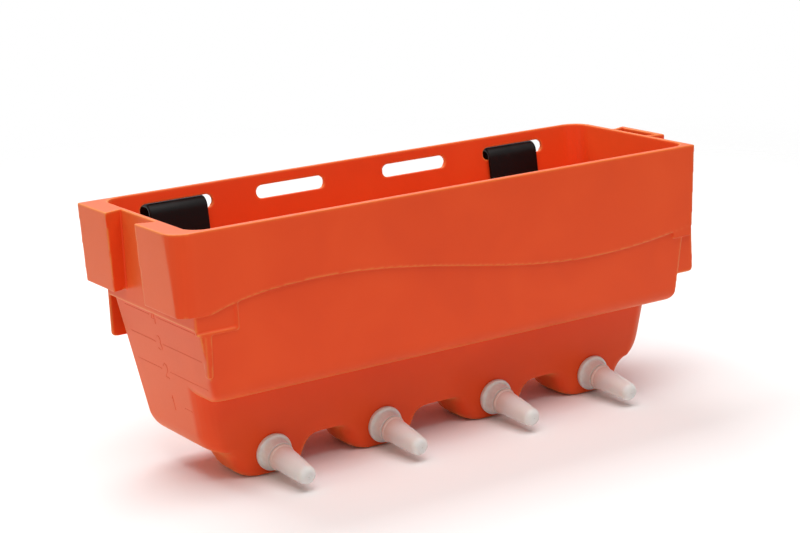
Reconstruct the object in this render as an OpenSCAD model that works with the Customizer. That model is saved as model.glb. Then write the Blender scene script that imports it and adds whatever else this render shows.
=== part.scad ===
// Multi teat lamb feeder: a moulded milk trough that hangs on a rail by two
// strap hooks, with four teats along the foot of its front.
// +X runs along the trough towards the tongue end, -Y is the front with the
// teats, +Z is up. The origin is on top of the rail, midway between the hooks.

/* [Trough] */
// Step out from the lower to the upper wall at the grooved end
left_step = 2.34; // [1.5:0.02:3]
// Step out from the lower to the upper wall at the tongue end
right_step = 7.15; // [5:0.05:9]
// Depth of the rim, front to back
rim_depth = 143; // [137:1:150]
// Thickness of every moulded wall
wall = 3; // [2.6:0.1:3.4]
// Lean of the back wall, in degrees
back_lean = 7; // [5:0.5:9]
// Lean of the lower end walls, in degrees
end_lean = 9.6; // [8:0.2:10]
// Lean of the upper tongue end wall, in degrees
right_lean = 3.2; // [2:0.2:4]
// Depth of the upright upper end walls below the rim
box_h = 66; // [64:1:70]
// Depth of the floor below the rim
floor_h = 164.5; // [160:0.5:168]
// Half length of the floor
floor_half_x = 188; // [186:0.5:190]
// Depth of the front wall's foot below the rim
ledge_h = 117; // [113:0.5:120]
// Drop of the ledge from the front wall back to the teat panel
ledge_drop = 4; // [3:0.5:6]
// Radius of the front wall's foot
ledge_r = 10; // [7:0.5:12]
// Radius of the front wall's lower corners
bay_r = 12; // [8:0.5:15]
// Radius where the back wall meets the floor
heel_r = 13; // [8:0.5:16]
// Radius where the end walls meet the floor
end_r = 14; // [8:0.5:15]
// Radius of the upright corners inside the rim
rim_inner_r = 14; // [8:0.5:16]
// Radius of the rounded outer back corner at the tongue end
rim_outer_r = 16; // [10:0.5:18]
// Radius of the leaning back corners below the rim
back_corner_r = 10; // [6:0.5:14]
// Radius of the teat panel's side edges
panel_corner_r = 15; // [8:0.5:18]

/* [Teat sumps] */
// Depth of the sumps' feet below the floor
sump_drop = 22.6; // [22:0.1:24]
// Half width of a sump where it leaves the floor
sump_top_half = 31.5; // [31:0.1:33]
// Half width of a sump at its foot
sump_foot_half = 26; // [25:0.1:27]
// Radius at the foot of a sump
sump_foot_r = 15; // [9:0.5:15]
// Radius of the arch between sumps
arch_r = 13.5; // [8:0.5:14]
// Depth of a sump's level foot behind the teat panel
sump_flat = 42; // [36:0.5:44]
// Depth over which a sump's back rises to the floor
sump_rise = 20; // [18:0.5:24]
// Radius of a sump's upright front edges
sump_edge_r = 10; // [6:0.5:11]

/* [Teats] */
// Floor's end to an outer teat
teat_inset = 49; // [47:0.5:50]
// Place of a middle teat, as a share of an outer one's
teat_share = 0.349; // [0.34:0.001:0.355]
// Height of the teat holes above the sumps' feet
teat_lift = 16.9; // [16.4:0.1:17.9]
// Centre of the rim to the teat panel at the holes
panel_d = 37; // [35:0.5:39]
// Downward tilt of the teats, in degrees
teat_tilt = 6.4; // [5:0.2:8]
// Length of a teat from the panel to its tip
teat_reach = 49.5; // [46:0.5:54]
// Diameter of a nipple in front of its bead
nipple_root_d = 17.6; // [17:0.1:18.2]
// Diameter of a nipple where its tip starts to round over
nipple_tip_d = 13.4; // [12.8:0.1:14]
// Radius that rounds a nipple's tip
tip_r = 3; // [2:0.1:3.5]
// Diameter of the rolled bead at a nipple's root
bead_d = 19.4; // [19:0.1:20]
// Width of the rolled bead
bead_w = 2.8; // [2.4:0.1:3.2]
// Diameter of the milk hole in a nipple's tip
milk_hole_d = 2; // [1.6:0.1:2.6]
// Thickness of a nipple beyond its stem
nipple_wall = 2.2; // [1.8:0.1:2.6]
// Diameter of a seat's flange
flange_d = 27; // [26:0.1:28]
// Thickness of a seat's flange at its edge
flange_t = 4; // [3.4:0.1:4.6]
// Height of a seat's bell above the panel
bell_h = 11.5; // [10:0.5:12.5]
// Diameter of the stem that a nipple is pushed onto
stem_d = 12.4; // [11.8:0.1:12.8]
// Length of the stem beyond the bell
stem_l = 16; // [14:0.5:18]
// Diameter of a seat's threaded tail
tail_d = 14; // [13:0.1:14.6]
// Length of a seat's tail behind the panel's face
tail_l = 14; // [13:0.5:15]
// Bore through a seat
seat_bore_d = 7; // [6:0.1:8]
// Diameter of a seal ring
seal_d = 21; // [20:0.1:22]
// Thickness of a seal ring
seal_t = 2; // [1.6:0.1:2.4]
// Width across the flats of a back nut
nut_flats = 19; // [18:0.1:20]
// Thickness of a back nut
nut_t = 6.5; // [5.5:0.1:7.2]
// Radial gap between a nipple and its stem
stem_gap = 0.05; // [0.03:0.01:0.09]
// Radial gap of a tail in the panel, seal ring and nut
tail_gap = 0.2; // [0.1:0.05:0.3]

/* [Link between feeders] */
// Reach of the corner blocks beyond the grooved end wall
block_w = 13.5; // [12:0.5:15]
// Height of the corner blocks and the tongue
block_h = 55.7; // [52:0.1:58]
// Inward lean of the blocks' outer face over their height
block_draft = 2.5; // [1.5:0.1:3]
// Radius of the front block's outer corner
block_front_r = 14; // [10:0.5:14.5]
// Width of the groove at its mouth
groove_mouth = 44; // [41:0.5:46]
// Extra width of the groove at its floor, on each side
groove_flare = 4.75; // [3.5:0.25:5.5]
// Distance of the groove and tongue behind the rim's centre
link_y = 4; // [2:0.5:6]
// Gap all round between a tongue and a groove
link_gap = 1; // [0.6:0.1:1.4]

/* [Front band and corner fins] */
// Depth that the front band stands proud of the front wall
band_t = 2; // [1.6:0.1:2.4]
// Mean height of the band below the rim
band_mid_h = 57.4; // [55:0.1:59]
// Height of the wave in the band's lower edge
band_wave_h = 12.4; // [9:0.1:13]
// Centre line to the wave's crest, towards the grooved end
band_crest_x = 112; // [104:1:120]
// Length from the wave's crest to its dip
band_half_wave = 232; // [224:1:240]
// Depth of the corner fins' feet below the rim
fin_h = 98; // [92:0.5:102]
// Distance of the back fin's edge from the end of the rim, at the grooved end
fin_left_inset = 2.5; // [0.5:0.1:4]
// Distance of the fins' edge from the end of the rim, at the tongue end
fin_right_inset = 0.5; // [0:0.1:4]
// Flare of those fins towards their feet
fin_flare = 0.4; // [0:0.1:3]
// Rounding of the fins' lower corners
fin_r = 3; // [1:0.1:4]
// Distance of the front fin's edge from the end of the rim, at the grooved end
front_fin_inset = 6; // [5:0.1:7]
// Width of that fin, which is a narrow rib
front_fin_w = 4.6; // [3.6:0.1:5.6]
// Depth that the other front fin stands back from the front wall
front_fin_set = 1.5; // [1:0.1:2.5]
// Gap between the corner blocks and the tops of the back fins
back_fin_drop = 5; // [4:0.5:6]
// Depth that the rib and the lip's rim stand proud of the front wall
fin_proud = 1.4; // [1:0.1:1.5]
// Depth of the lips' lower edge below the rim
lip_h = 69; // [67:0.5:72]
// Length of the lip at the grooved end
lip_left_l = 28.5; // [24:0.5:30]
// Length of the lip at the tongue end
lip_right_l = 21; // [17:0.5:23]
// Width of the raised rim of the lip at the grooved end
lip_rim_w = 1.6; // [1:0.1:2.5]

/* [Hooks] */
// Length of the hook slots
slot_l = 57; // [54:0.5:60]
// Height of the hook slots
slot_w = 9.6; // [9:0.1:10.4]
// Depth of the slots' centres below the rim
slot_h = 13; // [12:0.1:14]
// End of the rim to the middle of an outer slot, at the grooved end
slot_inset = 59.8; // [58:0.1:62]
// Place of an inner slot, as a share of an outer one's
slot_share = 0.3682; // [0.355:0.0001:0.38]
// Side play of a hook strap in its slot, both sides together
hook_play = 11.5; // [11:0.1:13]
// Thickness of a hook strap
hook_t = 3; // [2.6:0.1:3.4]
// Inside radius of a hook's bends
hook_r = 4.5; // [3.5:0.1:4.8]
// Length of a hook's leg inside the trough
hook_leg = 50; // [40:1:60]
// Clear width between the back wall and a hook's outer leg
rail_gap = 18; // [16:0.5:24]
// Length of a hook's outer leg
hook_tail = 42; // [30:1:50]
// Gap between a hook and the trough
hook_gap = 0.4; // [0.35:0.05:0.6]
// Shift of the right hook towards the grooved end, as it hangs
right_hook_shift = 2; // [0:0.1:2.2]

/* [Hidden] */
$fn = 64;

// Overlap that joins two solids of one moulding
lap = 0.5;
// Power that fills out the back corners of a sump: 1 is an ellipse, less is squarer
bowl_corner = 0.6;
// How far a cutter runs past the face that it opens
past = 2;
// Allowance that keeps the faces of two overlapping solids apart
skin = 0.2;
// How far the cuts between the nodes of the moulding lie inside its walls
cut_in = 0.5;
// Straight steps in a rounded corner
arc_steps = 6;
// Points along the wave of the front band
wave_steps = 40;
// Length over which the band's lower edge rises from the corner block to its wave
wave_lead = 45;

front_y = -rim_depth / 2 + band_t;
box_z = -box_h;
floor_z = -floor_h;
left_end_x = end_x(box_z) + left_step;
right_end_x = end_x(box_z) + right_step + box_h * tan(right_lean);
fin_left_x = left_end_x - fin_left_inset;
fin_right_x = right_end_x - fin_right_inset;
fin_top = -block_h + wall;
back_fin_top = -block_h - back_fin_drop;
fin_back = rim_depth / 2 - wall + lap;
lip_left_x = fin_left_x - lip_left_l;
lip_right_x = fin_right_x - lip_right_l;
wave_start_x = 4 * wall - left_end_x;
teat_outer_x = floor_half_x - teat_inset;
teat_inner_x = teat_outer_x * teat_share;
slot_outer_x = left_end_x - slot_inset;
slot_inner_x = slot_outer_x * slot_share;
sump_z = floor_z - sump_drop;
ledge_z = -ledge_h;
ledge_back_z = ledge_z - ledge_drop;
teat_z = sump_z + teat_lift;
panel_y0 = -panel_d;
teat_x = [-teat_outer_x, -teat_inner_x, teat_inner_x, teat_outer_x];
slot_z = -slot_h;
slot_x = [-slot_outer_x, -slot_inner_x, slot_inner_x, slot_outer_x];
block_x = left_end_x + block_w;
groove_floor = groove_mouth + 2 * groove_flare;
flank = groove_flare / block_w;
tail_hole_d = tail_d + 2 * tail_gap;
hook_w = slot_l - hook_play;

// The trough hangs with the top of its slots on the hooks' bars, and the bars lie on the rail.
bar_z = slot_z + slot_w / 2 - hook_gap - hook_t;
rail_y = back_y(bar_z) + rail_gap / 2;

function back_y(z) = rim_depth / 2 + z * tan(back_lean);
function end_x(z) = floor_half_x + (z - floor_z) * tan(end_lean);
function right_x(z) = right_end_x + z * tan(right_lean);
function panel_y(z) = panel_y0 - (z - teat_z) * tan(teat_tilt);
function wave_z(x) = -band_mid_h + band_wave_h * cos(180 * (x + band_crest_x) / band_half_wave);
function band_z(x) =
    let (t = max(0, 1 - (x - wave_start_x) / wave_lead))
    wave_z(x) - (wave_z(wave_start_x) + block_h) * t * t;

// Outlines with rounded corners: each point is [x, y, radius].
function unit(v) = v / norm(v);
function turn(a) = a > 180 ? a - 360 : a < -180 ? a + 360 : a;
function flat(p) = [p[0], p[1]];
function corner(a, p, b, r) =
    let (u = unit(a - p), w = unit(b - p), half = acos(u * w) / 2)
    let (c = p + unit(u + w) * r / sin(half), t = r / tan(half))
    let (s = p + u * t - c, e = p + w * t - c)
    let (from = atan2(s[1], s[0]), sweep = turn(atan2(e[1], e[0]) - from))
    [for (i = [0:arc_steps]) c + r * [cos(from + sweep * i / arc_steps), sin(from + sweep * i / arc_steps)]];
function rounded(pts) =
    let (n = len(pts))
    [for (i = [0:n - 1])
        each pts[i][2] > 0
            ? corner(flat(pts[(i + n - 1) % n]), flat(pts[i]), flat(pts[(i + 1) % n]), pts[i][2])
            : [flat(pts[i])]];

module along_x(x0, x1) {
    translate([x0, 0, 0]) rotate([90, 0, 90]) linear_extrude(x1 - x0) children();
}

module along_y(y0, y1) {
    translate([0, y1, 0]) rotate([90, 0, 0]) linear_extrude(y1 - y0) children();
}

module upright(z0, z1) {
    translate([0, 0, z0]) linear_extrude(z1 - z0) children();
}

// A rounded rectangle at height z, as a ring of points. Radii start at the back right corner.
function ring(x0, x1, y0, y1, radii, z) =
    [for (k = [0:3])
        let (sx = k == 0 || k == 3 ? 1 : -1, sy = k < 2 ? 1 : -1, r = radii[k])
        let (cx = (sx > 0 ? x1 : x0) - sx * r, cy = (sy > 0 ? y1 : y0) - sy * r)
        for (i = [0:arc_steps])
            let (a = 90 * k + 90 * i / arc_steps)
            [cx + r * cos(a), cy + r * sin(a), z]];

// A closed solid between a lower and an upper ring of as many points.
module loft(low, high) {
    n = len(low);
    sides = [for (i = [0:n - 1]) [i, n + i, n + (i + 1) % n, (i + 1) % n]];
    foot = [for (i = [0:n - 1]) i];
    head = [for (i = [n - 1:-1:0]) n + i];
    polyhedron(concat(low, high), concat(sides, [foot, head]));
}

// The outlines below are the trough's shape drawn in by g on every side.
function side_outline(g, top) = rounded([
    [front_y + g, top, 0],
    [front_y + g, ledge_z + g, ledge_r - g],
    [panel_y(ledge_back_z + g) + g / cos(teat_tilt), ledge_back_z + g, ledge_r / 2 + g],
    [panel_y(sump_z + g) + g / cos(teat_tilt), sump_z + g, g > 0 ? 1 : 2],
    [panel_y(sump_z) + sump_flat, sump_z + g, sump_foot_r - g],
    [panel_y(sump_z) + sump_flat + sump_rise, floor_z + g, sump_foot_r + g],
    [back_y(floor_z + g) + skin - g, floor_z + g, heel_r - g],
    [back_y(top) + skin - g, top, 0]
]);

// Half width and height along a sump's flank, from its foot up to the arch.
function sump_flank(g) =
    let (foot = [sump_foot_half - g, sump_z + g - skin / 2], head = [sump_top_half - g, floor_z + g + skin / 2])
    let (low = corner([0, foot[1]], foot, head, sump_foot_r - g))
    let (high = corner(foot, head, [2 * sump_top_half, head[1]], arch_r + g))
    [for (arc = [low, high], i = [0:2:arc_steps]) arc[i]];

function front_outline(g, top) =
    let (far = block_x, shelf = box_z + g - skin)
    rounded(concat(
        [[-far, top, 0], [-far, shelf, 0]],
        [[-end_x(shelf) + g, shelf, 0], [-end_x(floor_z + g) + g, floor_z + g, end_r - g]],
        [[end_x(floor_z + g) - g, floor_z + g, end_r - g], [end_x(shelf) - g, shelf, 0]],
        [[far, shelf, 0], [far, top, 0]]
    ));

function bay_outline(g) =
    let (high = box_z + g + past, low = ledge_back_z + g - skin)
    rounded([
        [-end_x(high) - skin + g, high, 0], [-end_x(low) - skin + g, low, bay_r - g],
        [end_x(low) + skin - g, low, bay_r - g], [end_x(high) + skin - g, high, 0]
    ]);

function rim_ring(g, z) = ring(
    -left_end_x + g, right_x(z) - g, front_y - skin + g, back_y(z) - g,
    g > 0 ? [for (k = [0:3]) rim_inner_r] : [rim_outer_r, 1, 1, 1], z
);

function belly_ring(g, z) = ring(
    -end_x(z) - skin + g, end_x(z) + skin - g, panel_y(z) - skin + g, back_y(z) - skin - g,
    [back_corner_r - g, back_corner_r - g, panel_corner_r - g, panel_corner_r - g], z
);

// Plan of a sump at height z: rounded front edges, and a half ellipse with fuller corners behind.
// Beside an end wall it stops at the wall's own foot.
function bowl_ring(n, g, half, z) =
    let (room = floor_half_x - teat_outer_x - end_r * tan(45 - end_lean / 2))
    let (left = n == 0 ? min(half, room) : half, right = n == 3 ? min(half, room) : half)
    let (x = teat_x[n], y = panel_y(z) - 2 * skin + g, r = sump_edge_r - g)
    let (deep = sump_flat + sump_rise * (z - sump_z) / sump_drop + wall - g - r)
    concat(
        [for (w = [-90:30:0]) [x + right - r + r * cos(w), y + r + r * sin(w), z]],
        [for (w = [15:15:165])
            [x + (w < 90 ? right : -left) * pow(abs(cos(w)), bowl_corner), y + r + deep * pow(sin(w), bowl_corner), z]],
        [for (w = [180:30:270]) [x - left + r + r * cos(w), y + r + r * sin(w), z]]
    );

// A closed solid through a stack of rings of as many points, from the lowest to the highest.
module stack(rings) {
    n = len(rings[0]);
    last = len(rings) - 1;
    sides = [for (k = [0:last - 1], i = [0:n - 1])
        let (a = k * n + i, b = k * n + (i + 1) % n)
        each [[a, a + n, b], [b, a + n, b + n]]];
    foot = [for (i = [0:n - 1]) i];
    head = [for (i = [n - 1:-1:0]) last * n + i];
    polyhedron([for (ring = rings) each ring], concat(sides, [foot, head]));
}

module bowl(n, g) {
    flank = sump_flank(g);
    last = len(flank) - 1;
    stack(concat(
        [bowl_ring(n, g, flank[0][0], sump_z - past)],
        [for (p = flank) bowl_ring(n, g, p[0], p[1])],
        [bowl_ring(n, g, flank[last][0], flank[last][1] + past)]
    ));
}

module basin(g, top) {
    intersection() {
        union() {
            along_y(-rim_depth, rim_depth) polygon(front_outline(g, top));
            for (n = [0:3]) bowl(n, g);
        }
        union() {
            loft(rim_ring(g, box_z + g), rim_ring(g, top));
            loft(belly_ring(g, sump_z - past), belly_ring(g, box_z + g + past));
            along_y(front_y - skin + g, 0) polygon(bay_outline(g));
        }
        along_x(-block_x, block_x) polygon(side_outline(g, top));
    }
}

// Plan of the dovetail groove, widened by g on its flanks.
module groove_plan(g) {
    out_half = groove_mouth / 2 - past * flank + g;
    in_half = groove_floor / 2 + lap * flank + g;
    polygon([
        [-block_x - past, link_y - out_half], [-left_end_x + lap, link_y - in_half],
        [-left_end_x + lap, link_y + in_half], [-block_x - past, link_y + out_half]
    ]);
}

module block_plan(g) {
    polygon(rounded([
        [-block_x + g, -rim_depth / 2 + g, block_front_r - g],
        [-left_end_x + wall / 2, -rim_depth / 2 + g, 0],
        [-left_end_x + wall / 2, rim_depth / 2 - g, 0],
        [-block_x + g, rim_depth / 2 - g, 0]
    ]));
}

// The two corner blocks at the grooved end, hollow from below.
module corner_blocks() {
    difference() {
        intersection() {
            upright(-block_h, 0) block_plan(0);
            along_y(-rim_depth, rim_depth) polygon([
                [-block_x, 0], [-left_end_x + wall, 0],
                [-left_end_x + wall, -block_h], [-block_x + block_draft, -block_h]
            ]);
        }
        upright(-block_h - past, past) groove_plan(0);
        upright(-block_h - past, -wall) difference() {
            block_plan(wall + block_draft / 2);
            groove_plan(wall);
        }
    }
}

// Plan of the tongue from root_x outward, drawn in by g.
module tongue_plan(root_x, g) {
    tip_x = right_end_x + block_w - link_gap - g;
    tip_half = groove_floor / 2 - link_gap - g * (1 + flank);
    root_half = tip_half - (tip_x - root_x) * flank;
    polygon([
        [root_x, link_y - root_half], [tip_x, link_y - tip_half],
        [tip_x, link_y + tip_half], [root_x, link_y + root_half]
    ]);
}

// The hollow tongue that drops into the next feeder's groove.
module tongue() {
    difference() {
        upright(-block_h, 0) tongue_plan(right_x(-block_h) - wall / 2, 0);
        upright(-block_h - past, past) tongue_plan(right_end_x, wall);
    }
}

// Stacking fins under the back corners. A roof and a web tie each of them to the leaning back wall.
module back_fins() {
    root_x = end_x(-fin_h) - back_corner_r - wall;
    foot = -fin_h;
    roof = back_fin_top - wall;
    intersection() {
        along_y(0, rim_depth) {
            polygon(rounded([
                [-fin_left_x, fin_top, 0], [-root_x, fin_top, 0], [-root_x, foot, 0], [-fin_left_x, foot, fin_r]
            ]));
            polygon(rounded([
                [root_x, fin_top, 0], [fin_right_x, fin_top, 0], [fin_right_x + fin_flare, foot, fin_r],
                [root_x, foot, 0]
            ]));
        }
        union() {
            along_x(-block_x, block_x) polygon([
                [back_y(back_fin_top) - wall / 2, back_fin_top], [fin_back, back_fin_top], [fin_back, foot],
                [fin_back - wall, foot], [fin_back - wall, roof], [back_y(roof) - wall / 2, roof]
            ]);
            for (x0 = [-root_x - wall, root_x])
                along_x(x0, x0 + wall) polygon([
                    [back_y(back_fin_top) - wall / 2, back_fin_top], [fin_back, back_fin_top],
                    [fin_back, foot], [back_y(foot) - wall / 2, foot]
                ]);
        }
    }
}

// Under the front corners: a narrow rib at the grooved end, and a plate behind the front wall at the other.
module front_fins() {
    rib_x = left_end_x - front_fin_inset;
    root_x = end_x(-fin_h) - wall;
    along_y(front_y - fin_proud, front_y + wall) polygon([
        [-rib_x, -lip_h + lap], [-rib_x + front_fin_w, -lip_h + lap],
        [-rib_x + front_fin_w * 4 / 5, -fin_h], [-rib_x, -fin_h]
    ]);
    along_y(front_y + front_fin_set, front_y + front_fin_set + wall) polygon(rounded([
        [root_x, fin_top, 0], [fin_right_x, fin_top, 0], [fin_right_x + fin_flare, -fin_h, fin_r], [root_x, -fin_h, 0]
    ]));
}

// Stacking lips over the front fins. At the grooved end a plate level with the wall has a raised rim along
// its foot and its inner end. At the tongue end the band itself steps down.
module front_lips() {
    top = fin_top + wall;
    foot = -lip_h;
    left_x = left_end_x - lap;
    along_y(front_y + lap / 2, front_y + front_fin_set + lap)
        polygon([[-left_x, top], [-lip_left_x, top], [-lip_left_x, foot], [-left_x, foot]]);
    along_y(front_y - fin_proud, front_y + lap) polygon([
        [-left_x, foot], [-lip_left_x, foot], [-lip_left_x, top],
        [-lip_left_x - lip_rim_w, top], [-lip_left_x - lip_rim_w, foot + lip_rim_w], [-left_x, foot + lip_rim_w]
    ]);
    along_y(front_y - band_t + skin / 2, front_y + front_fin_set + lap) polygon([
        [lip_right_x, top], [right_x(top) - skin, top], [right_x(foot) - skin, foot], [lip_right_x, foot]
    ]);
}

module front_band() {
    end_x0 = right_x(-band_mid_h);
    along_y(-rim_depth / 2, front_y + lap) polygon(concat(
        [[-left_end_x, 0], [-left_end_x, -block_h]],
        [for (i = [0:wave_steps])
            let (x = wave_start_x + (end_x0 - wave_start_x) * i / wave_steps)
            [x, band_z(x)]],
        [[right_end_x, 0]]
    ));
}

module slot_outline() {
    straight = slot_l - slot_w;
    square([straight, slot_w], center = true);
    for (side = [-1, 1])
        translate([side * straight / 2, 0]) circle(d = slot_w);
}

module at_teat(n) {
    translate([teat_x[n], panel_y0, teat_z]) rotate([90 + teat_tilt, 0, 0]) children();
}

module trough() {
    color("orangered") difference() {
        union() {
            basin(0, 0);
            corner_blocks();
            tongue();
            back_fins();
            front_fins();
            front_lips();
            front_band();
        }
        basin(wall, past);
        for (x = slot_x)
            translate([x, 0, slot_z]) along_y(rim_depth / 2 - 4 * wall, rim_depth / 2 + past) slot_outline();
        for (n = [0:3])
            at_teat(n) translate([0, 0, -wall - past]) cylinder(d = tail_hole_d, h = wall + 2 * past);
    }
}

// The moulding is drawn as eight nodes, which meet at plain cuts, most of them just inside its walls.
// A back fin stays whole, as a part of the back.
module end_zone(side) {
    bend_z = box_z + wall + cut_in;
    heel_z = floor_z + end_r;
    fin_root = back_y(back_fin_top - wall) - wall;
    rim_x = side < 0 ? left_end_x : right_x(past);
    step_x = side < 0 ? left_end_x : right_x(bend_z);
    inner = wall + cut_in;
    difference() {
        along_y(-rim_depth, rim_depth) scale([side, 1]) polygon([
            [rim_x - inner, past], [2 * block_x, past], [2 * block_x, heel_z],
            [end_x(heel_z) - inner, heel_z], [end_x(bend_z) - inner, bend_z], [step_x - inner, bend_z]
        ]);
        along_x(-fin_left_x - cut_in, 3 * block_x) polygon([
            [fin_root, back_fin_top], [2 * rim_depth, back_fin_top], [2 * rim_depth, floor_z], [fin_root, floor_z]
        ]);
    }
}

module back_zone() {
    heel_z = floor_z + heel_r;
    inner = wall + rim_inner_r + cut_in;
    along_x(-2 * block_x, 2 * block_x) polygon([
        [back_y(past) - inner, past], [rim_depth, past], [rim_depth, heel_z], [back_y(heel_z) - inner, heel_z]
    ]);
}

module front_zone() {
    foot_z = ledge_z + ledge_r;
    inner_y = front_y + wall + rim_inner_r + cut_in;
    along_x(-2 * block_x, 2 * block_x) polygon([
        [-rim_depth, past], [inner_y, past], [inner_y, foot_z], [-rim_depth, foot_z]
    ]);
}

module trough_end(side) {
    intersection() { trough(); end_zone(side); }
}

module trough_back() {
    difference() {
        intersection() { trough(); back_zone(); }
        end_zone(-1);
        end_zone(1);
    }
}

module trough_front() {
    difference() {
        intersection() { trough(); front_zone(); }
        end_zone(-1);
        end_zone(1);
    }
}

// One sump's share of the foot, cut off midway to the next teat.
module trough_foot(n) {
    x0 = n == 0 ? -block_x : (teat_x[n - 1] + teat_x[n]) / 2;
    x1 = n == 3 ? block_x : (teat_x[n] + teat_x[n + 1]) / 2;
    difference() {
        intersection() {
            trough();
            along_x(x0, x1) square(4 * rim_depth, center = true);
        }
        end_zone(-1);
        end_zone(1);
        back_zone();
        front_zone();
    }
}

// Side view of a hook: a leg along the inside of the back wall, a bar through
// the slot and over the rail, and an outer leg down behind the rail.
function hook_outline() =
    let (bar_top = bar_z + hook_t, lean = tan(back_lean))
    let (back0 = back_y(bar_z) - (wall + hook_gap) / cos(back_lean), thick = hook_t / cos(back_lean))
    let (leg_end = bar_z - hook_leg, out = back_y(bar_z) + rail_gap, tail_end = bar_z - hook_tail)
    rounded([
        [back0 - thick - hook_leg * lean, leg_end, 0],
        [back0 - thick + hook_t * lean, bar_top, hook_r + hook_t],
        [out + hook_t, bar_top, hook_r + hook_t],
        [out + hook_t, tail_end, 0],
        [out, tail_end, 0],
        [out, bar_z, hook_r],
        [back0, bar_z, hook_r],
        [back0 - hook_leg * lean, leg_end, 0]
    ]);

module hook(x) {
    color("black") along_x(x - hook_w / 2, x + hook_w / 2) polygon(hook_outline());
}

module hook_left() {
    hook(-slot_outer_x);
}

module hook_right() {
    hook(slot_outer_x - right_hook_shift);
}

// A soft nipple: rolled bead, tapering outside, socket for the stem, milk hole at the tip.
module teat(n) {
    socket_r = stem_d / 2 + stem_gap;
    socket_end = bell_h + stem_l + 1;
    end_r0 = nipple_tip_d / 2;
    hollow_end = teat_reach - nipple_wall;
    at_teat(n) color("mistyrose") rotate_extrude() polygon(concat(
        [[socket_r, bell_h]],
        edge_arc(bead_d / 2 - bead_w / 2, bell_h + bead_w / 2, bead_w / 2, bead_w / 2, -90, 90),
        [[nipple_root_d / 2, bell_h + bead_w + lap]],
        edge_arc(end_r0 - tip_r, teat_reach - tip_r, tip_r, tip_r, 0, 90),
        [[milk_hole_d / 2, teat_reach], [milk_hole_d / 2, hollow_end]],
        [[end_r0 - nipple_wall - lap, hollow_end], [socket_r - lap, socket_end], [socket_r, socket_end]]
    ));
}

// A rigid seat: flange and bell in front of the panel, stem for the nipple, tail through the panel.
module teat_seat(n) {
    shoulder_r = bead_d / 2 + lap;
    edge_r = flange_d / 2 - flange_t / 4;
    at_teat(n) color("gainsboro") rotate_extrude() polygon(concat(
        [[seat_bore_d / 2, -tail_l], [tail_d / 2 - lap, -tail_l], [tail_d / 2, -tail_l + lap], [tail_d / 2, 0]],
        edge_arc(edge_r, flange_t / 2, flange_t / 4, flange_t / 2, -90, 60),
        [for (i = [1:arc_steps])
            let (a = 90 * i / arc_steps)
            [shoulder_r + (edge_r - shoulder_r) * (1 - sin(a)), bell_h - (bell_h - flange_t) * cos(a)]],
        [[stem_d / 2, bell_h], [stem_d / 2, bell_h + stem_l - 1], [stem_d / 2 - 1, bell_h + stem_l]],
        [[seat_bore_d / 2, bell_h + stem_l]]
    ));
}

// An arc in a turned outline about (r, z), with half axes a and b.
function edge_arc(r, z, a, b, from, to) =
    [for (i = [0:arc_steps])
        let (t = from + (to - from) * i / arc_steps)
        [r + a * cos(t), z + b * sin(t)]];

module seal_ring(n) {
    at_teat(n) color("dimgray") translate([0, 0, -wall - seal_t]) difference() {
        cylinder(d = seal_d, h = seal_t);
        translate([0, 0, -1]) cylinder(d = tail_hole_d, h = seal_t + 2);
    }
}

module back_nut(n) {
    at_teat(n) color("whitesmoke") translate([0, 0, -wall - seal_t - nut_t]) difference() {
        cylinder(d = nut_flats / cos(30), h = nut_t, $fn = 6);
        translate([0, 0, -1]) cylinder(d = tail_hole_d, h = nut_t + 2);
    }
}

module placed() {
    translate([0, -rail_y, -bar_z]) children();
}

placed() trough_end(-1);  // trough_left
placed() trough_end(1);  // trough_right
placed() trough_back();
placed() trough_front();
placed() trough_foot(0);  // trough_foot_1
placed() trough_foot(1);  // trough_foot_2
placed() trough_foot(2);  // trough_foot_3
placed() trough_foot(3);  // trough_foot_4
placed() hook_left();
placed() hook_right();
placed() teat(0);  // teat_1
placed() teat(1);  // teat_2
placed() teat(2);  // teat_3
placed() teat(3);  // teat_4
placed() teat_seat(0);  // teat_seat_1
placed() teat_seat(1);  // teat_seat_2
placed() teat_seat(2);  // teat_seat_3
placed() teat_seat(3);  // teat_seat_4
placed() seal_ring(0);  // seal_ring_1
placed() seal_ring(1);  // seal_ring_2
placed() seal_ring(2);  // seal_ring_3
placed() seal_ring(3);  // seal_ring_4
placed() back_nut(0);  // back_nut_1
placed() back_nut(1);  // back_nut_2
placed() back_nut(2);  // back_nut_3
placed() back_nut(3);  // back_nut_4
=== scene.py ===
import math

import bmesh
import bpy
import numpy as np
from mathutils import Matrix, Vector
from mathutils.bvhtree import BVHTree
from mathutils.kdtree import KDTree


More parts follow.
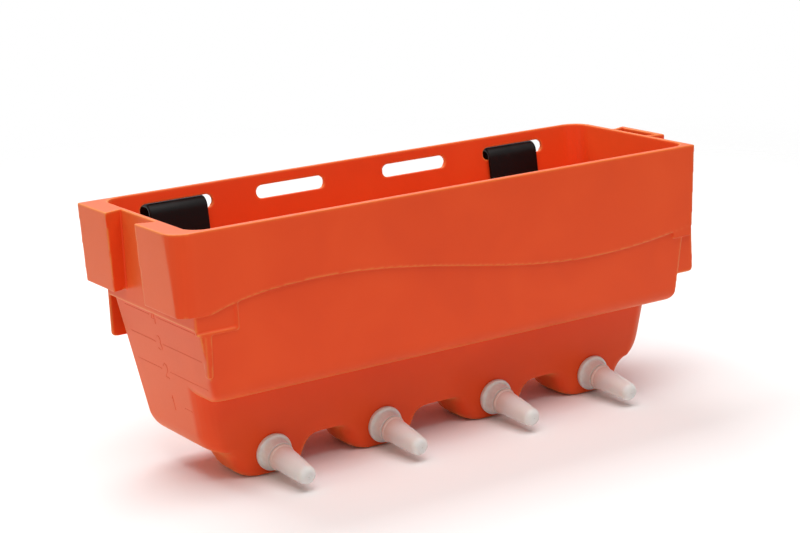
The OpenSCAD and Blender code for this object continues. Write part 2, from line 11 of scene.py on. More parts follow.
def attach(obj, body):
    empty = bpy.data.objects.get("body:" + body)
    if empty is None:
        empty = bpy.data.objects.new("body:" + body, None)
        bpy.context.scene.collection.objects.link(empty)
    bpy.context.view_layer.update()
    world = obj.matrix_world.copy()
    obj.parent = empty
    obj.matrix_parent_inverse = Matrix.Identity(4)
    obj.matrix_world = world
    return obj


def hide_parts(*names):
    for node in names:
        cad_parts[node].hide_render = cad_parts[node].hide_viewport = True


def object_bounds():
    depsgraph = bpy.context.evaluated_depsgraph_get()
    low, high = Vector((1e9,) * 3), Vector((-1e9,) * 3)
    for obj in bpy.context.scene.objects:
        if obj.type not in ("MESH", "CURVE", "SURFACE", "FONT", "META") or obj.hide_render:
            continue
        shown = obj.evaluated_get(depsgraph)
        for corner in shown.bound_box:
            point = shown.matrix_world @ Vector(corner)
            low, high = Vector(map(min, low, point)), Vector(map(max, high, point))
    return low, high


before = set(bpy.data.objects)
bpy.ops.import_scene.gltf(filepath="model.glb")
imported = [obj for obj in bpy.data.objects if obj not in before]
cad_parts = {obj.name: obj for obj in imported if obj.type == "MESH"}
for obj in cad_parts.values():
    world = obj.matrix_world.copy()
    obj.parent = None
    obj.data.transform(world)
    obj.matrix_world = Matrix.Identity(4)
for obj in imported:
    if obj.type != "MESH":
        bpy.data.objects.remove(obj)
cadLow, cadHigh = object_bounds()
scene = bpy.context.scene
print("frame loaded:", len(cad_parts), "nodes")

# The moulding is drawn in millimetres from the middle of its rim, as the part's source does.
moulding = {"railBack": 79.0757,  # rim's middle to the rail, along Y
            "barDrop": 11.6,  # rim down to the top of the rail
            "floorHalf": 188, "floorZ": -164.5, "endLean": 9.6,
            "panelY": -37, "panelLean": 6.4, "teatX": (-139, -48.51, 48.51, 139), "teatZ": -170.2}


def row(x, y, z):
    return Vector((x, y - moulding["railBack"], z + moulding["barDrop"])) / 1000


def inRim(points):
    return points * 1000 + np.array((0, moulding["railBack"], -moulding["barDrop"]))


def endWallX(z):
    lean = math.radians(moulding["endLean"])
    return -(moulding["floorHalf"] + (z - moulding["floorZ"]) * math.tan(lean))


def smoothStep(low, high, values):
    t = np.clip((values - low) / (high - low), 0, 1)
    return t * t * (3 - 2 * t)


# small tools for nodes and meshes
def hexColour(code):
    parts = [int(code[i:i + 2], 16) / 255 for i in (1, 3, 5)]
    linear = [c / 12.92 if c <= 0.04045 else ((c + 0.055) / 1.055) ** 2.4 for c in parts]
    return (*linear, 1)


def addNode(tree, kind, settings=None, links=None):
    node = tree.nodes.new(kind)
    for key, value in (settings or {}).items():
        if isinstance(key, int) or key in node.inputs:
            node.inputs[key].default_value = value
        else:
            setattr(node, key, value)
    for key, source in (links or {}).items():
        tree.links.new(source, node.inputs[key])
    return node


def startMaterial(name, shaderSettings):
    material = bpy.data.materials.new(name)
    material.use_nodes = True
    tree = material.node_tree
    shader = tree.nodes["Principled BSDF"]
    for key, value in shaderSettings.items():
        shader.inputs[key].default_value = value
    return material, tree, shader


def perMetre(mm):
    return 1000 / mm


def rampColours(node, stops):
    ramp = node.color_ramp
    while len(ramp.elements) < len(stops):
        ramp.elements.new(0.5)
    for element, (place, code) in zip(ramp.elements, stops):
        element.position = place
        element.color = hexColour(code)


def readArray(items, name, width, kind=float):
    values = np.empty(len(items) * width, kind)
    items.foreach_get(name, values)
    return values.reshape(-1, width)


def meshObject(name, bm, material, sharpAngle=40):
    mesh = bpy.data.meshes.new(name)
    bmesh.ops.recalc_face_normals(bm, faces=bm.faces)
    bm.to_mesh(mesh)
    bm.free()
    for face in mesh.polygons:
        face.use_smooth = True
    mesh.set_sharp_from_angle(angle=math.radians(sharpAngle))
    piece = bpy.data.objects.new(name, mesh)
    scene.collection.objects.link(piece)
    mesh.materials.append(material)
    return piece


# Injection moulded polypropylene: satin, evenly dyed, faint flow marks, with a painted highlight
# along the outer edges where they catch light. Its milky skin glows a little at a low angle.
polypropylene = {"main": "#E94717", "flow": "#E54416", "pale": "#EC4B1A", "edge": "#EE9A4C",
                 "scuff": "#EC6A36", "glow": "#FFEA80", "flowMm": 70, "scuffMm": 5, "grainMm": 1.6,
                 "roughness": (0.36, 0.46)}


def makePolypropylene():
    look = polypropylene
    material, tree, shader = startMaterial("polypropyleneMoulded", {
        "IOR": 1.49, "Specular IOR Level": 0.22, "Sheen Weight": 0.3, "Sheen Roughness": 0.5,
        "Sheen Tint": hexColour(look["glow"])})
    place = addNode(tree, "ShaderNodeTexCoord").outputs["Object"]
    flow = addNode(tree, "ShaderNodeTexNoise", {
        "Scale": perMetre(look["flowMm"]), "Detail": 2, "Roughness": 0.45, "Distortion": 0.8}, {
        "Vector": place})
    tone = addNode(tree, "ShaderNodeValToRGB", links={"Fac": flow.outputs["Fac"]})
    rampColours(tone, [(0.3, look["flow"]), (0.5, look["main"]), (0.72, look["pale"])])
    # short pale scuffs from stacking, few and faint
    scuff = addNode(tree, "ShaderNodeTexNoise", {
        "Scale": perMetre(look["scuffMm"]), "Detail": 5, "Roughness": 0.7, "Distortion": 1.5}, {
        "Vector": place})
    rubbed = addNode(tree, "ShaderNodeMapRange", {
        "From Min": 0.66, "From Max": 0.8, "To Max": 0.3}, {"Value": scuff.outputs["Fac"]})
    marked = addNode(tree, "ShaderNodeMix", {"data_type": "RGBA", 7: hexColour(look["scuff"])}, {
        0: rubbed.outputs["Result"], 6: tone.outputs["Color"]})
    # painted highlight: the outer edges are drawn paler, as if they caught the light
    litEdges = addNode(tree, "ShaderNodeAttribute", {"attribute_name": "edgeHighlight"})
    colour = addNode(tree, "ShaderNodeMix", {"data_type": "RGBA", 7: hexColour(look["edge"])}, {
        0: litEdges.outputs["Fac"], 6: marked.outputs[2]})
    tree.links.new(colour.outputs[2], shader.inputs["Base Color"])
    # the real satin grain is about 0.3 mm, drawn coarser here so that it shows
    grain = addNode(tree, "ShaderNodeTexNoise", {
        "Scale": perMetre(look["grainMm"]), "Detail": 2, "Roughness": 0.6}, {"Vector": place})
    gloss = addNode(tree, "ShaderNodeMapRange", {
        "To Min": look["roughness"][0], "To Max": look["roughness"][1]}, {
        "Value": grain.outputs["Fac"]})
    tree.links.new(gloss.outputs["Result"], shader.inputs["Roughness"])
    bump = addNode(tree, "ShaderNodeBump", {"Strength": 0.08, "Distance": 0.0002}, {
        "Height": grain.outputs["Fac"]})
    tree.links.new(bump.outputs["Normal"], shader.inputs["Normal"])
    return material


# Moulded silicone rubber: pale, milky, soft sheen; the pinker root that fades to the tip is painted
# orange bounce light from the trough.
silicone = {"tip": "#E2E1DE", "body": "#D9D3D1", "root": "#D6BCB2", "grainMm": 1.6}


def makeSilicone():
    look = silicone
    material, tree, shader = startMaterial("siliconeMoulded", {
        "IOR": 1.42, "Roughness": 0.42, "Subsurface Weight": 0.25, "Subsurface Scale": 0.004,
        "Subsurface Radius": (1, 0.6, 0.45)})
    along = addNode(tree, "ShaderNodeAttribute", {"attribute_name": "along"})
    # painted bounce light: the root is drawn pinker, as the orange trough lights it, fading to the
    # paler tip
    tone = addNode(tree, "ShaderNodeValToRGB", links={"Fac": along.outputs["Fac"]})
    rampColours(tone, [(0.24, look["root"]), (0.5, look["body"]), (0.95, look["tip"])])
    tree.links.new(tone.outputs["Color"], shader.inputs["Base Color"])
    # a faint grain that breaks up the gloss, drawn coarser than it is so that it shows
    place = addNode(tree, "ShaderNodeTexCoord").outputs["Object"]
    grain = addNode(tree, "ShaderNodeTexNoise", {"Scale": perMetre(look["grainMm"]), "Detail": 2}, {
        "Vector": place})
    bump = addNode(tree, "ShaderNodeBump", {"Strength": 0.08, "Distance": 0.0002}, {
        "Height": grain.outputs["Fac"]})
    tree.links.new(bump.outputs["Normal"], shader.inputs["Normal"])
    return material


# Moulded low density polythene, undyed: grey-white, waxy, slightly see-through at thin edges.
polythene = {"main": "#D9D9D5", "shade": "#CFCECA", "cloudMm": 3}


def makePolythene():
    look = polythene
    material, tree, shader = startMaterial("polytheneMoulded", {
        "IOR": 1.51, "Roughness": 0.38, "Subsurface Weight": 0.15, "Subsurface Scale": 0.003})
    place = addNode(tree, "ShaderNodeTexCoord").outputs["Object"]
    cloud = addNode(tree, "ShaderNodeTexNoise", {"Scale": perMetre(look["cloudMm"]), "Detail": 3}, {
        "Vector": place})
    tone = addNode(tree, "ShaderNodeValToRGB", links={"Fac": cloud.outputs["Fac"]})
    rampColours(tone, [(0.3, look["shade"]), (0.65, look["main"])])
    tree.links.new(tone.outputs["Color"], shader.inputs["Base Color"])
    return material


# Powder coated steel strap: near black, fine orange peel, dull gloss on the bends.
powderCoat = {"main": "#0B0707", "rub": "#1A1413", "peelMm": 1.8, "rubMm": 14,
              "roughness": (0.36, 0.5)}


def makePowderCoat():
    look = powderCoat
    material, tree, shader = startMaterial("steelPowderCoated", {
        "IOR": 1.5, "Specular IOR Level": 0.14})
    place = addNode(tree, "ShaderNodeTexCoord").outputs["Object"]
    peel = addNode(tree, "ShaderNodeTexNoise", {"Scale": perMetre(look["peelMm"]), "Detail": 2}, {
        "Vector": place})
    rub = addNode(tree, "ShaderNodeTexNoise", {
        "Scale": perMetre(look["rubMm"]), "Detail": 4, "Roughness": 0.65}, {"Vector": place})
    tone = addNode(tree, "ShaderNodeValToRGB", links={"Fac": rub.outputs["Fac"]})
    rampColours(tone, [(0.5, look["main"]), (0.75, look["rub"])])
    tree.links.new(tone.outputs["Color"], shader.inputs["Base Color"])
    gloss = addNode(tree, "ShaderNodeMapRange", {
        "To Min": look["roughness"][0], "To Max": look["roughness"][1]}, {
        "Value": rub.outputs["Fac"]})
    tree.links.new(gloss.outputs["Result"], shader.inputs["Roughness"])
    bump = addNode(tree, "ShaderNodeBump", {"Strength": 0.2, "Distance": 0.0002}, {
        "Height": peel.outputs["Fac"]})
    tree.links.new(bump.outputs["Normal"], shader.inputs["Normal"])
    return material


# Moulded nitrile rubber: matt black, dusty grey where it was pressed.
nitrile = {"low": "#1B1B1B", "high": "#2E2D2C", "roughness": 0.7, "speckMm": 1.5}
# Moulded nylon: clean white with a soft gloss.
nylon = {"low": "#D2CEC5", "high": "#E2DFD8", "roughness": 0.35, "speckMm": 2.5}


def makeSpeckled(name, look):
    material, tree, shader = startMaterial(name, {"IOR": 1.5, "Roughness": look["roughness"]})
    place = addNode(tree, "ShaderNodeTexCoord").outputs["Object"]
    speck = addNode(tree, "ShaderNodeTexNoise", {"Scale": perMetre(look["speckMm"]), "Detail": 4}, {
        "Vector": place})
    tone = addNode(tree, "ShaderNodeValToRGB", links={"Fac": speck.outputs["Fac"]})
    rampColours(tone, [(0.4, look["low"]), (0.7, look["high"])])
    tree.links.new(tone.outputs["Color"], shader.inputs["Base Color"])
    bump = addNode(tree, "ShaderNodeBump", {"Strength": 0.1, "Distance": 0.0002}, {
        "Height": speck.outputs["Fac"]})
    tree.links.new(bump.outputs["Normal"], shader.inputs["Normal"])
    return material


troughPlastic = makePolypropylene()
nippleRubber = makeSilicone()
seatPlastic = makePolythene()
strapCoat = makePowderCoat()
sealRubber = makeSpeckled("nitrileMoulded", nitrile)
nutPlastic = makeSpeckled("nylonMoulded", nylon)
print("materials made")

# The trough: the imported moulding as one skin, with its edges run out soft as they leave a mould.
trough = {"voxel": 0.8, "snap": 0.65, "sharpAngle": 26, "lineStep": 0.2, "softPasses": 4,
          # how the painted edge highlight spreads: mm drawn in, passes, gain and most
          "highlightDrawn": (0.12, 0.5), "highlightPasses": 3, "highlightGain": 1.3, "highlightMost": 0.85,
          "keepShare": 0.2, "normalWeight": 60}
# edges that are rounder still, which fade out between the two lengths of a pair, in mm
sumpEdge = {"passes": 24, "z": (-160, -152), "behindPanel": (16, 26), "seatClear": (14.2, 17.5)}
bayEdge = {"passes": 70, "y": -69.5, "z": (-101, -99), "lowest": -122, "reach": (7, 14)}
heelEdge = {"passes": 150, "reach": (7, 14)}


def troughNodes():
    return sorted(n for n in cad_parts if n.startswith("trough"))


def isInside(tree, spot):
    # a ray from inside a closed solid crosses its skin an odd number of times
    ahead = Vector((0.31, 0.17, 0.93)).normalized()
    hits = 0
    found = tree.ray_cast(spot, ahead)
    while found[0] is not None:
        hits += 1
        found = tree.ray_cast(found[0] + ahead * 1e-6, ahead)
    return hits % 2 == 1


def joinedSkin():
    # the nodes meet at plain cuts, and the faces of those cuts are left out here
    pieces, trees = {}, {}
    for name in troughNodes():
        bm = bmesh.new()
        bm.from_mesh(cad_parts[name].data)
        bmesh.ops.remove_doubles(bm, verts=bm.verts, dist=1e-6)
        bm.normal_update()
        pieces[name], trees[name] = bm, BVHTree.FromBMesh(bm)
    skin = bmesh.new()
    for name, bm in pieces.items():
        others = [trees[other] for other in trees if other != name]
        cuts = []
        for face in bm.faces:
            justOutside = face.calc_center_median() + face.normal * 1e-4
            if any(isInside(other, justOutside) for other in others):
                cuts.append(face)
        bmesh.ops.delete(bm, geom=cuts, context="FACES")
        part = bpy.data.meshes.new(name + "Skin")
        bm.to_mesh(part)
        bm.free()
        skin.from_mesh(part)
        bpy.data.meshes.remove(part)
    skin.normal_update()
    return skin


def sharpLines(skin):
    spots = []
    for edge in skin.edges:
        if len(edge.link_faces) == 2 and edge.calc_face_angle() > math.radians(trough["sharpAngle"]):
            a, b = (v.co for v in edge.verts)
            steps = max(1, int((b - a).length / (trough["lineStep"] / 1000)))
            spots += [a + (b - a) * i / steps for i in range(steps + 1)]
    tree = KDTree(len(spots))
    for i, spot in enumerate(spots):
        tree.insert(spot, i)
    tree.balance()
    return tree


def remeshed(skin):
    blank = bpy.data.meshes.new("troughBlank")
    skin.to_mesh(blank)
    holder = bpy.data.objects.new("troughBlank", blank)
    scene.collection.objects.link(holder)
    grid = holder.modifiers.new("grid", "REMESH")
    grid.mode = "VOXEL"
    grid.voxel_size = trough["voxel"] / 1000
    evaluated = holder.evaluated_get(bpy.context.evaluated_depsgraph_get())
    mesh = bpy.data.meshes.new_from_object(evaluated)
    bpy.data.objects.remove(holder)
    bpy.data.meshes.remove(blank)
    return mesh


def snapped(points, skin):
    # puts the grid's points back on the moulding's own faces and edges
    faces, lines = BVHTree.FromBMesh(skin), sharpLines(skin)
    reach = trough["snap"] * trough["voxel"] / 1000
    placed = points.copy()
    for i, point in enumerate(points):
        spot = faces.find_nearest(Vector(point), 2 * reach)[0]
        if spot is None:
            continue
        edge, _, away = lines.find(spot)
        placed[i] = edge if away < reach else spot
    return placed


def softened(values, edges, weight, passes):
    # each pass draws a point's values halfway to the mean of its neighbours, by its weight
    edges = edges[weight[edges].max(1) > 0]
    size = len(values)
    count = np.bincount(edges.ravel(), minlength=size).astype(float)
    count[count == 0] = 1
    a, b = edges[:, 0], edges[:, 1]
    for _ in range(passes):
        total = np.stack([np.bincount(a, values[b, k], size) + np.bincount(b, values[a, k], size)
                          for k in range(values.shape[1])], 1)
        values = values + weight[:, None] * 0.5 * (total / count[:, None] - values)
    return values


def sumpWeight(points):
    # the sumps' front edges are rounder than the rest, but the teats' seats stay flat
    x, y, z = inRim(points).T
    near = 1 - smoothStep(*sumpEdge["z"], z)
    above = z - moulding["teatZ"]
    panel = moulding["panelY"] - above * math.tan(math.radians(moulding["panelLean"]))
    front = 1 - smoothStep(*sumpEdge["behindPanel"], y - panel)
    clear = np.ones(len(x))
    for teatX in moulding["teatX"]:
        clear = np.minimum(clear, smoothStep(*sumpEdge["seatClear"], np.hypot(x - teatX, above)))
    return near * front * clear


def bayWeight(points):
    # the bay's lower edge at the grooved end is moulded round
    x, y, z = inRim(points).T
    off = np.hypot(x - endWallX(z), y - bayEdge["y"])
    low = 1 - smoothStep(*bayEdge["z"], z)
    return low * (1 - smoothStep(*bayEdge["reach"], off)) * (z > bayEdge["lowest"])


def heelWeight(points):
    # the end walls turn into the floor in a wide curve
    x, _, z = inRim(points).T
    off = np.hypot(np.abs(x) - moulding["floorHalf"], z - moulding["floorZ"])
    return 1 - smoothStep(*heelEdge["reach"], off)


def softTrough(mesh, skin):
    # moves the grid's points and marks the outer convex edges for a painted highlight, paler where they
    # catch light
    edges = readArray(mesh.edges, "vertices", 2, int)
    points = snapped(readArray(mesh.vertices, "co", 3), skin)
    mesh.vertices.foreach_set("co", points.astype(np.float32).ravel())
    mesh.update()
    normals = readArray(mesh.vertices, "normal", 3)
    everywhere = np.ones(len(points))
    soft = softened(points, edges, everywhere, trough["softPasses"])
    drawn = -((soft - points) * normals).sum(1) * 1000  # mm drawn in
    rounder = np.zeros(len(points))
    for weigh, edge in ((sumpWeight, sumpEdge), (bayWeight, bayEdge), (heelWeight, heelEdge)):
        weight = weigh(soft)
        rounder = np.maximum(rounder, weight)
        soft = softened(soft, edges, weight, edge["passes"])
    # painted highlight on the convex edges, left off where the edges are rounder
    litEdges = (1 - rounder) * smoothStep(*trough["highlightDrawn"], drawn)
    litEdges = softened(litEdges[:, None], edges, everywhere, trough["highlightPasses"])[:, 0]
    litEdges = np.minimum(trough["highlightGain"] * litEdges, trough["highlightMost"])
    mesh.vertices.foreach_set("co", soft.astype(np.float32).ravel())
    highlightLayer = mesh.attributes.new("edgeHighlight", "FLOAT", "POINT")
    highlightLayer.data.foreach_set("value", litEdges.astype(np.float32))
    mesh.update()


def makeTrough():
    skin = joinedSkin()
    mesh = remeshed(skin)
    softTrough(mesh, skin)
    skin.free()
    count = len(mesh.vertices)
    piece = bpy.data.objects.new("troughMoulding", mesh)
    scene.collection.objects.link(piece)
    thin = piece.modifiers.new("thin", "DECIMATE")
    thin.ratio = trough["keepShare"]
    evaluated = piece.evaluated_get(bpy.context.evaluated_depsgraph_get())
    light = bpy.data.meshes.new_from_object(evaluated)
    piece.modifiers.clear()
    piece.data = light
    bpy.data.meshes.remove(mesh)
    for face in light.polygons:
        face.use_smooth = True
    light.materials.clear()
    light.materials.append(troughPlastic)
    even = piece.modifiers.new("even", "WEIGHTED_NORMAL")
    even.keep_sharp = False
    even.weight = trough["normalWeight"]
    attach(piece, "trough")
    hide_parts(*troughNodes())
    print("trough:", count, "points thinned to", len(light.vertices))


makeTrough()

# Litre scale on the sloping end wall: fine raised lines and figures, as the mould leaves them.
litreScale = {"levels": {4: -69.2, 3: -88.7, 2: -108.8, 1: -132.7}, "ends": (42, -62),
              "shortLine": (-18, -28), "figureY": -1, "tall": 10.5, "wide": 6,
              "stroke": 1, "crown": 0.6, "proud": 0.2, "root": 0.3, "mitre": 0.55, "sharpAngle": 30}


def bow(middle, radius, start, end, steps=9):
    turn = [math.radians(start + (end - start) * i / steps) for i in range(steps + 1)]
    return [(middle[0] + radius[0] * math.cos(a), middle[1] + radius[1] * math.sin(a)) for a in turn]


# strokes of each figure, in a box one wide and one tall
figures = {1: [[(0.25, 0.78), (0.55, 1), (0.55, 0)]],
           2: [bow((0.5, 0.7), (0.46, 0.3), 165, -35) + [(0.04, 0), (1, 0)]],
           3: [bow((0.45, 0.75), (0.45, 0.25), 150, -80) + bow((0.45, 0.26), (0.5, 0.26), 80, -150)],
           4: [[(0.72, 0), (0.72, 1), (0, 0.3), (1, 0.3)]]}


def onEndWall(y, z, out):
    lean = math.radians(moulding["endLean"])
    return row(endWallX(z) - out * math.cos(lean), y, z - out * math.sin(lean))


def addRidge(bm, path):
    s = litreScale
    foot, crown = 0.5, s["crown"] / 2  # half widths, as shares of the stroke
    section = ((-foot, -s["root"]), (-crown, s["proud"]), (crown, s["proud"]), (foot, -s["root"]))
    path = [Vector(p) for p in path]
    rings = []
    for i, spot in enumerate(path):
        before = (spot - path[max(i - 1, 0)]).normalized()
        after = (path[min(i + 1, len(path) - 1)] - spot).normalized()
        ahead = (before + after).normalized()
        stretch = 1 / max(s["mitre"], ahead.dot(after if after.length else before))
        side = Vector((-ahead.y, ahead.x)) * stretch * s["stroke"]
        rings.append([bm.verts.new(onEndWall(*(spot + side * across), out)) for across, out in section])
    for low, high in zip(rings, rings[1:]):
        for k in range(len(section)):
            bm.faces.new((low[k], low[k - 1], high[k - 1], high[k]))
    bm.faces.new(rings[0])
    bm.faces.new(rings[-1])


def makeLitreScale():
    s = litreScale
    bm = bmesh.new()
    for figure, z in s["levels"].items():
        for stroke in figures[figure]:
            addRidge(bm, [(s["figureY"] + s["wide"] * (0.5 - u), z + s["tall"] * (v - 0.5))
                          for u, v in stroke])
        if figure == 1:
            addRidge(bm, [(y, z) for y in s["shortLine"]])
        else:
            addRidge(bm, [(s["ends"][0], z), (s["figureY"] + s["wide"], z)])
            addRidge(bm, [(s["figureY"] - s["wide"], z), (s["ends"][1], z)])
    piece = meshObject("litreScale", bm, troughPlastic, s["sharpAngle"])
    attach(piece, "trough")


makeLitreScale()
print("litre scale made")


# Turned pieces: a closed outline of (radius, height) in millimetres, spun about the teat's own axis.
def teatFrame(index):
    spot = row(moulding["teatX"][index], moulding["panelY"], moulding["teatZ"])
    tilt = math.radians(90) + math.radians(moulding["panelLean"])
    return Matrix.Translation(spot) @ Matrix.Rotation(tilt, 4, "X")


def spun(name, outline, matrix, material, segments=64, alongLength=None):
    bm = bmesh.new()
    rings = []
    for radius, height in outline:
        ring = []
        for k in range(segments):
            a = 2 * math.pi * k / segments
            ring.append(bm.verts.new((
                radius * math.cos(a) / 1000, radius * math.sin(a) / 1000, height / 1000)))
        rings.append(ring)
    for low, high in zip(rings, rings[1:] + rings[:1]):
        for k in range(segments):
            n = (k + 1) % segments
            bm.faces.new((low[k], low[n], high[n], high[k]))
    heights = [v.co.z * 1000 for v in bm.verts]
    bm.transform(matrix)
    piece = meshObject(name, bm, material)
    if alongLength:
        along = piece.data.attributes.new("along", "FLOAT", "POINT")
        along.data.foreach_set("value", [h / alongLength for h in heights])
    return piece


def arc(r, z, a, b, start, end, steps=8):
    turn = [math.radians(start + (end - start) * i / steps) for i in range(steps + 1)]
    return [(r + a * math.cos(t), z + b * math.sin(t)) for t in turn]


nipple = {"reach": 49.5, "bell": 11.5, "beadR": 9.7, "beadW": 2.8, "neckL": 1, "flare": (0.12, 0.35),
          "rootR": 8.8, "tipR": 6.7, "round": 4.4, "swell": 0.18, "bodySteps": 13, "holeR": 0.35,
          "holeLip": 0.1, "wall": 2.2, "socketR": 6.25, "socketEnd": 28.5, "socketStep": 0.5}


def makeNipple(index):
    n = nipple
    halfBead = n["beadW"] / 2
    bead = arc(n["beadR"] - halfBead, n["bell"] + halfBead, halfBead, halfBead, -90, 70)
    beadEnd = n["bell"] + n["beadW"]
    bodyStart, bodyEnd = beadEnd + n["neckL"], n["reach"] - n["round"]
    neck = [(n["rootR"] + n["flare"][0], beadEnd + n["flare"][1]), (n["rootR"], bodyStart)]
    body = []
    for i in range(1, n["bodySteps"]):
        t = i / n["bodySteps"]
        swell = n["swell"] * math.sin(math.pi * t)  # the soft wall bulges a little
        body.append((n["rootR"] + (n["tipR"] - n["rootR"]) * t + swell,
                     bodyStart + (bodyEnd - bodyStart) * t))
    tip = arc(n["tipR"] - n["round"], bodyEnd, n["round"], n["round"], 0, 90, 10)
    tipInside = n["reach"] - n["wall"]
    lip, step = n["holeLip"], n["socketStep"]
    hole = [(n["holeR"] + lip, n["reach"]), (n["holeR"], n["reach"] - lip), (n["holeR"], tipInside)]
    inside = [(n["tipR"] - n["wall"] - step, tipInside), (n["socketR"] - step, n["socketEnd"]),
              (n["socketR"], n["socketEnd"]), (n["socketR"], n["bell"])]
    outline = bead + neck + body + tip + hole + inside
    piece = spun(f"nipple{index + 1}", outline, teatFrame(index), nippleRubber, alongLength=n["reach"])
    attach(piece, f"teat_{index + 1}")
    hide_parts(f"teat_{index + 1}")


seat = {"flangeR": 13.5, "flangeT": 4, "bell": 11.5, "bellSteps": 12, "shoulderR": 10.2,
        "stemR": 6.2, "stemEnd": 27.5, "stemBevel": 1, "tailR": 7, "tailEnd": -14, "tailBevel": 0.5,
        "boreR": 3.5, "threadPitch": 2, "threadDeep": 0.45, "threadEnd": -1, "plainFrom": -0.6,
        "crest": (0.2, 0.7), "root": (1.1, 1.5)}


def makeSeat(index):
    s = seat
    edgeR = s["flangeR"] - s["flangeT"] / 4
    flange = arc(edgeR, s["flangeT"] / 2, s["flangeT"] / 4, s["flangeT"] / 2, -90, 60)
    bell = []
    for i in range(1, s["bellSteps"] + 1):
        a = math.radians(90 * i / s["bellSteps"])
        bell.append((s["shoulderR"] + (edgeR - s["shoulderR"]) * (1 - math.sin(a)),
                     s["bell"] - (s["bell"] - s["flangeT"]) * math.cos(a)))
    stem = [(s["stemR"], s["bell"]), (s["stemR"], s["stemEnd"] - s["stemBevel"]),
            (s["stemR"] - s["stemBevel"], s["stemEnd"]), (s["boreR"], s["stemEnd"])]
    tail = [(s["boreR"], s["tailEnd"]), (s["tailR"] - s["tailBevel"], s["tailEnd"])]
    # thread seen behind the nut: rings at the pitch, close enough to a helix at this size
    z = s["tailEnd"] + s["tailBevel"]
    rootR = s["tailR"] - s["threadDeep"]
    while z < s["threadEnd"] - s["threadPitch"]:
        tail += [(s["tailR"], z + up) for up in s["crest"]] + [(rootR, z + up) for up in s["root"]]
        z += s["threadPitch"]
    tail += [(s["tailR"], s["plainFrom"]), (s["tailR"], 0)]
    piece = spun(f"teatSeat{index + 1}", tail + flange + bell + stem, teatFrame(index), seatPlastic)
    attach(piece, "trough")
    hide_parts(f"teat_seat_{index + 1}")


for index in range(len(moulding["teatX"])):
    makeNipple(index)
    makeSeat(index)
print("teats and seats made")

# Seal rings and back nuts keep their CAD shape, with broken edges.
fasteners = {"sealBevel": 0.35, "nutBevel": 0.5, "segments": 3, "sharpAngle": 40}


def dressFastener(node, material, bevel):
    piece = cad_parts[node]
    piece.data.materials.clear()
    piece.data.materials.append(material)
    edge = piece.modifiers.new("edge", "BEVEL")
    edge.width = bevel / 1000
    edge.segments = fasteners["segments"]
    edge.limit_method = "ANGLE"
    edge.angle_limit = math.radians(fasteners["sharpAngle"])


for index in range(1, len(moulding["teatX"]) + 1):
    dressFastener(f"seal_ring_{index}", sealRubber, fasteners["sealBevel"])
    dressFastener(f"back_nut_{index}", nutPlastic, fasteners["nutBevel"])
print("seal rings and nuts dressed")

# Strap hooks: one flat strap bent twice, corners cut round. The path is (y, z) of its middle.
strap = {"width": 45.5, "thick": 3, "bend": 6, "edge": 1.1, "edgeSteps": 3, "endRound": 5, "step": 1.5,
         "path": ((59.0, -61.6), (65.32, -10.1), (89.576, -10.1), (89.576, -53.6)),
         "leftX": -147.2, "rightX": 145.2}


def bentPath(points, radius, steps=10):
    path = [Vector(points[0])]
    for before, here, after in zip(points, points[1:], points[2:]):
        p = Vector(here)
        u, w = (Vector(before) - p).normalized(), (Vector(after) - p).normalized()
        half = u.angle(w) / 2
        middle = p + (u + w).normalized() * radius / math.sin(half)
        reach = radius / math.tan(half)
        start, end = p + u * reach - middle, p + w * reach - middle
        sweep = start.angle_signed(end)
        for i in range(steps + 1):
            a = -sweep * i / steps
            turned = Vector((start.x * math.cos(a) - start.y * math.sin(a),
                             start.x * math.sin(a) + start.y * math.cos(a)))
            path.append(middle + turned)
    path.append(Vector(points[-1]))
    return path


def densePath(path, step):
    dense = [path[0]]
    for a, b in zip(path, path[1:]):
        parts = max(1, int((b - a).length / step))
        dense += [a + (b - a) * i / parts for i in range(1, parts + 1)]
    return dense


def makeStrap(name, node, middleX):
    s = strap
    path = densePath(bentPath(s["path"], s["bend"]), s["step"])
    lengths = [0]
    for a, b in zip(path, path[1:]):
        lengths.append(lengths[-1] + (b - a).length)
    bm = bmesh.new()
    rings = []
    for i, spot in enumerate(path):
        ahead = (path[min(i + 1, len(path) - 1)] - path[max(i - 1, 0)]).normalized()
        side = Vector((-ahead.y, ahead.x))
        toEnd = min(lengths[i], lengths[-1] - lengths[i])
        r = s["endRound"]
        cut = r - math.sqrt(r * r - (r - toEnd) ** 2) if toEnd < r else 0
        half, deep, e = s["width"] / 2 - cut, s["thick"] / 2, s["edge"]
        ring = []
        for cx, cn, start in ((half - e, deep - e, 0), (-half + e, deep - e, 90),
                              (-half + e, -deep + e, 180), (half - e, -deep + e, 270)):
            for k in range(s["edgeSteps"] + 1):
                a = math.radians(start + 90 * k / s["edgeSteps"])
                out = spot + side * (cn + e * math.sin(a))
                ring.append(bm.verts.new(row(middleX + cx + e * math.cos(a), out.x, out.y)))
        rings.append(ring)
    for low, high in zip(rings, rings[1:]):
        for k in range(len(low)):
            n = (k + 1) % len(low)
            bm.faces.new((low[k], low[n], high[n], high[k]))
    bm.faces.new(rings[0])
    bm.faces.new(rings[-1])
    piece = meshObject(name, bm, strapCoat)
    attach(piece, node)
    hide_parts(node)


makeStrap("strapHookLeft", "hook_left", strap["leftX"])
makeStrap("strapHookRight", "hook_right", strap["rightX"])
print("strap hooks made")

# Paper floor and white room: the paper keeps the shadow near the object and runs out into white.
stage = {"floorHalf": 6, "floor": "#FAFAFA", "floorInner": 0.5, "floorOuter": 1.3,
         "skyStrength": 0.2}


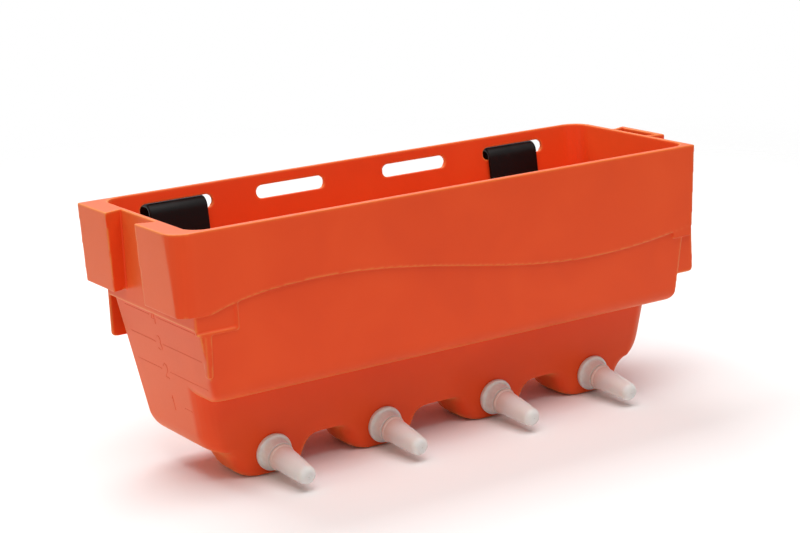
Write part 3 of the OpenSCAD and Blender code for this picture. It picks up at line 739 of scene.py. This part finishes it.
def makeFloor():
    bm = bmesh.new()
    h = stage["floorHalf"]
    z = cadLow.z
    bm.faces.new([bm.verts.new((x, y, z)) for x, y in ((-h, -h), (h, -h), (h, h), (-h, h))])
    material, tree, shader = startMaterial("floorPaper", {
        "Base Color": hexColour(stage["floor"]), "Roughness": 0.9, "Specular IOR Level": 0.1})
    place = addNode(tree, "ShaderNodeTexCoord").outputs["Object"]
    away = addNode(tree, "ShaderNodeVectorMath", {"operation": "LENGTH"}, {0: place})
    shown = addNode(tree, "ShaderNodeMapRange", {
        "interpolation_type": "SMOOTHSTEP", "To Min": 1, "To Max": 0,
        "From Min": stage["floorInner"], "From Max": stage["floorOuter"]}, {
        "Value": away.outputs["Value"]})
    tree.links.new(shown.outputs["Result"], shader.inputs["Alpha"])
    floor = meshObject("studioFloor", bm, material)


def makeWorld():
    # white where it is seen, also in gloss, and dimmer as light
    world = bpy.data.worlds.new("studioWorld")
    scene.world = world
    world.use_nodes = True
    tree = world.node_tree
    tree.nodes.clear()
    rays = addNode(tree, "ShaderNodeLightPath")
    seen = addNode(tree, "ShaderNodeMath", {"operation": "MAXIMUM"}, {
        0: rays.outputs["Is Camera Ray"], 1: rays.outputs["Is Glossy Ray"]})
    seenAll = addNode(tree, "ShaderNodeMath", {"operation": "MAXIMUM"}, {
        0: seen.outputs[0], 1: rays.outputs["Is Transmission Ray"]})
    level = addNode(tree, "ShaderNodeMapRange", {"To Min": stage["skyStrength"], "To Max": 1}, {
        "Value": seenAll.outputs[0]})
    sky = addNode(tree, "ShaderNodeBackground", {"Color": (1, 1, 1, 1)}, {
        "Strength": level.outputs["Result"]})
    addNode(tree, "ShaderNodeOutputWorld", links={"Surface": sky.outputs[0]})


# Soft boxes: place and aim in metres, size, watts and tint.
lamps = {
    "overFrontBox": ((-0.1, -0.6, 1.5), (0, -0.08, -0.05), (1.8, 1.4), 22.5, "#FFFFFF"),
    "overBackBox": ((0, 0.9, 1.3), (0, -0.08, -0.05), (1.8, 1), 24, "#FFFFFF"),
    "leftBox": ((-1.6, -0.6, 0.5), (-0.2, -0.08, -0.05), (1.2, 1.2), 3.2, "#FFE9C4"),
    "frontBox": ((0.3, -1.9, 0.8), (0, -0.08, -0.05), (1.6, 1.2), 1.8, "#FFFFFF")}


def softBox(name, place, aim, size, power, colour):
    lamp = bpy.data.lights.new(name, "AREA")
    lamp.shape = "RECTANGLE"
    lamp.size, lamp.size_y = size
    lamp.energy = power
    lamp.color = hexColour(colour)[:3]
    box = bpy.data.objects.new(name, lamp)
    box.location = place
    box.rotation_mode = "QUATERNION"
    box.rotation_quaternion = (Vector(aim) - Vector(place)).to_track_quat("-Z", "Y")
    scene.collection.objects.link(box)


# The camera as solved from the photograph: metres, degrees and millimetres.
view = {"place": (-0.75994, -1.26905, 0.28981), "yaw": 33.987, "pitch": 14.065, "roll": -2.256,
        "sensor": 36, "lens": 89.855, "shift": (-0.068, 0.0063), "farthest": 100}


def makeCamera():
    yaw, pitch, roll = (math.radians(view[k]) for k in ("yaw", "pitch", "roll"))
    ahead = Vector((math.sin(yaw) * math.cos(pitch), math.cos(yaw) * math.cos(pitch), -math.sin(pitch)))
    right = Vector((math.cos(yaw), -math.sin(yaw), 0))
    up = right.cross(ahead)
    side = right * math.cos(roll) + up * math.sin(roll)
    over = up * math.cos(roll) - right * math.sin(roll)
    lens = bpy.data.cameras.new("photoCamera")
    lens.sensor_width = view["sensor"]
    lens.lens = view["lens"]
    lens.shift_x, lens.shift_y = view["shift"]
    lens.clip_end = view["farthest"]
    camera = bpy.data.objects.new("photoCamera", lens)
    camera.matrix_world = Matrix(((side.x, over.x, -ahead.x, view["place"][0]),
                                  (side.y, over.y, -ahead.y, view["place"][1]),
                                  (side.z, over.z, -ahead.z, view["place"][2]), (0, 0, 0, 1)))
    scene.collection.objects.link(camera)
    scene.camera = camera


makeFloor()
makeWorld()
for lampName, settings in lamps.items():
    softBox(lampName, *settings)
makeCamera()
scene.view_settings.view_transform = "Standard"
print("stage, lamps and camera set")
